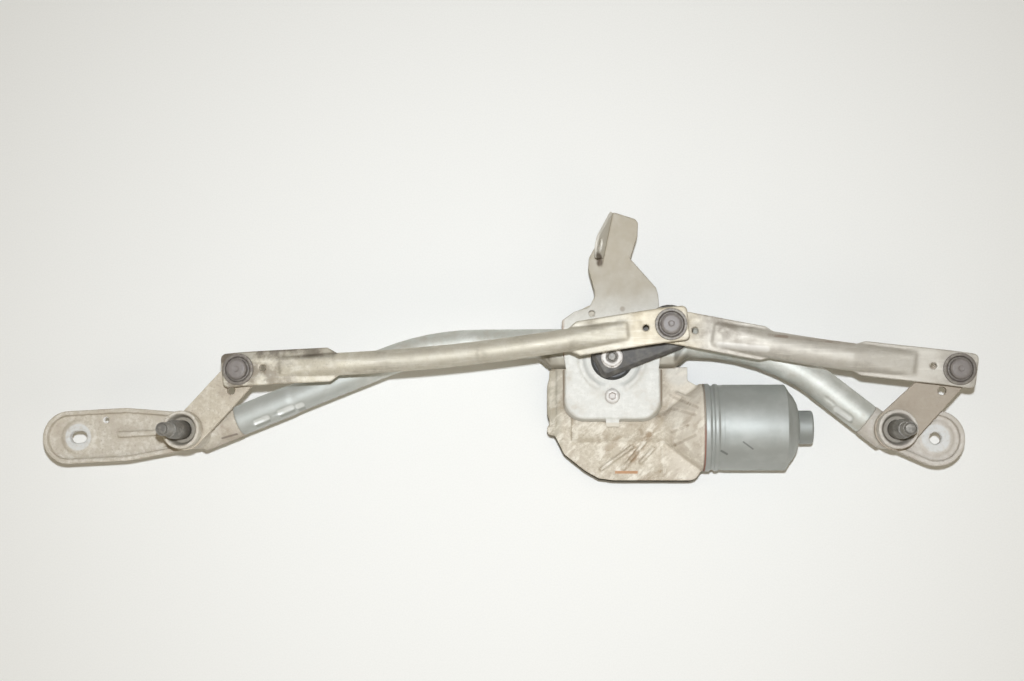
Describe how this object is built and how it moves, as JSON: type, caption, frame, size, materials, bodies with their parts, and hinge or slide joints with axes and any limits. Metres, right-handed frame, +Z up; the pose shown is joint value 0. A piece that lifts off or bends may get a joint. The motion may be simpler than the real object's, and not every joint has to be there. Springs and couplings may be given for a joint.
{
  "type": "wiper linkage",
  "caption": "Windscreen wiper linkage: gear motor on a tubular frame, with a crank, link rods on ball joints and levers that turn threaded wiper spindles.",
  "frame": {"origin": "on the drive axis of the crank, on the flat underside of the gear cover", "axes": "+X from the left spindle towards the right spindle, +Y towards the plate's fixing arm, +Z up along the spindles"},
  "size_m": [0.6963, 0.2025, 0.1265],
  "materials": {
    "cast": "matte, weathered",
    "housing_cast": "matte, weathered",
    "zinc": "zinc plated, satin",
    "plate_zinc": "zinc plated, satin",
    "link_zinc": "zinc plated, stained",
    "lever_steel": "zinc plated, stained",
    "dark_steel": "satin",
    "bright_steel": "polished",
    "crank_black": "satin",
    "can_steel": "zinc plated, scratched",
    "bronze": "satin",
    "copper": "satin",
    "ferrite": "matte",
    "core": "varnished",
    "cover_plastic": "matte",
    "socket_plastic": "matte",
    "wheel_plastic": "matte",
    "board": "satin",
    "gasket": "matte"
  },
  "bodies": {
    "frame": {"left_bearing_bracket": "cast", "right_bearing_bracket": "cast", "left_bushes": "bronze", "right_bushes": "bronze", "frame_tube": "zinc", "motor_plate": "plate_zinc", "plate_screws": "bright_steel", "gear_housing": "housing_cast", "gear_cover": "cover_plastic", "connector_pins": "copper", "control_board": "board", "motor_can": "can_steel", "can_gasket": "gasket", "magnets": "ferrite", "brush_plate": "cover_plastic", "armature_bushes": "bronze", "output_bush": "bronze", "shaft_cap": "cover_plastic"},
    "crank": {"output_shaft": "dark_steel", "worm_wheel": "wheel_plastic", "crank_arm": "crank_black", "crank_nut": "bright_steel", "crank_ball_pin": "bright_steel"},
    "left_link": {"left_link_rod": "link_zinc", "left_inner_socket": "socket_plastic", "left_outer_socket": "socket_plastic", "left_ball_stud": "bright_steel"},
    "right_link": {"right_link_rod": "link_zinc", "right_inner_socket": "socket_plastic", "right_outer_socket": "socket_plastic", "right_ball_stud": "bright_steel"},
    "left_rocker": {"left_lever": "lever_steel", "left_spindle": "dark_steel", "left_cup": "cast", "left_stud_foot": "bright_steel", "left_clip": "bright_steel"},
    "right_rocker": {"right_lever": "lever_steel", "right_spindle": "dark_steel", "right_cup": "cast", "right_stud_foot": "bright_steel", "right_clip": "bright_steel"},
    "armature": {"armature_shaft": "dark_steel", "armature_core": "core", "commutator": "copper"}
  },
  "joints": [
    {"name": "armature_spin", "type": "hinge", "parent": "frame", "child": "armature", "pos_m": [0, -0.051, 0.033], "axis": [1, 0, 0], "range_deg": [-7800, 0]},
    {"name": "crank_turn", "type": "hinge", "parent": "frame", "child": "crank", "pos_m": [0, 0, 0.05], "axis": [0, 0, 1], "range_deg": [-0.5, 120.5]},
    {"name": "left_link_turn", "type": "hinge", "parent": "crank", "child": "left_link", "pos_m": [0.04232, 0.02156, 0.0895], "axis": [0, 0, 1], "range_deg": [-120.6, 0.5]},
    {"name": "right_link_turn", "type": "hinge", "parent": "crank", "child": "right_link", "pos_m": [0.04232, 0.02156, 0.0755], "axis": [0, 0, 1], "range_deg": [-121.09, 0.5]},
    {"name": "left_spindle_turn", "type": "hinge", "parent": "frame", "child": "left_rocker", "pos_m": [-0.316, -0.053, 0.0735], "axis": [0, 0, 1], "range_deg": [-0.5, 83.74]},
    {"name": "right_spindle_turn", "type": "hinge", "parent": "frame", "child": "right_rocker", "pos_m": [0.203, -0.053, 0.0595], "axis": [0, 0, 1], "range_deg": [-0.5, 87.4]}
  ],
  "couplings": [
    {"joint": "crank_turn", "follows": "armature_spin", "ratio": -0.015385},
    {"joint": "left_link_turn", "follows": "armature_spin", "ratio": 0.015398},
    {"joint": "right_link_turn", "follows": "armature_spin", "ratio": 0.01546},
    {"joint": "left_spindle_turn", "follows": "armature_spin", "ratio": -0.010671},
    {"joint": "right_spindle_turn", "follows": "armature_spin", "ratio": -0.011141}
  ]
}
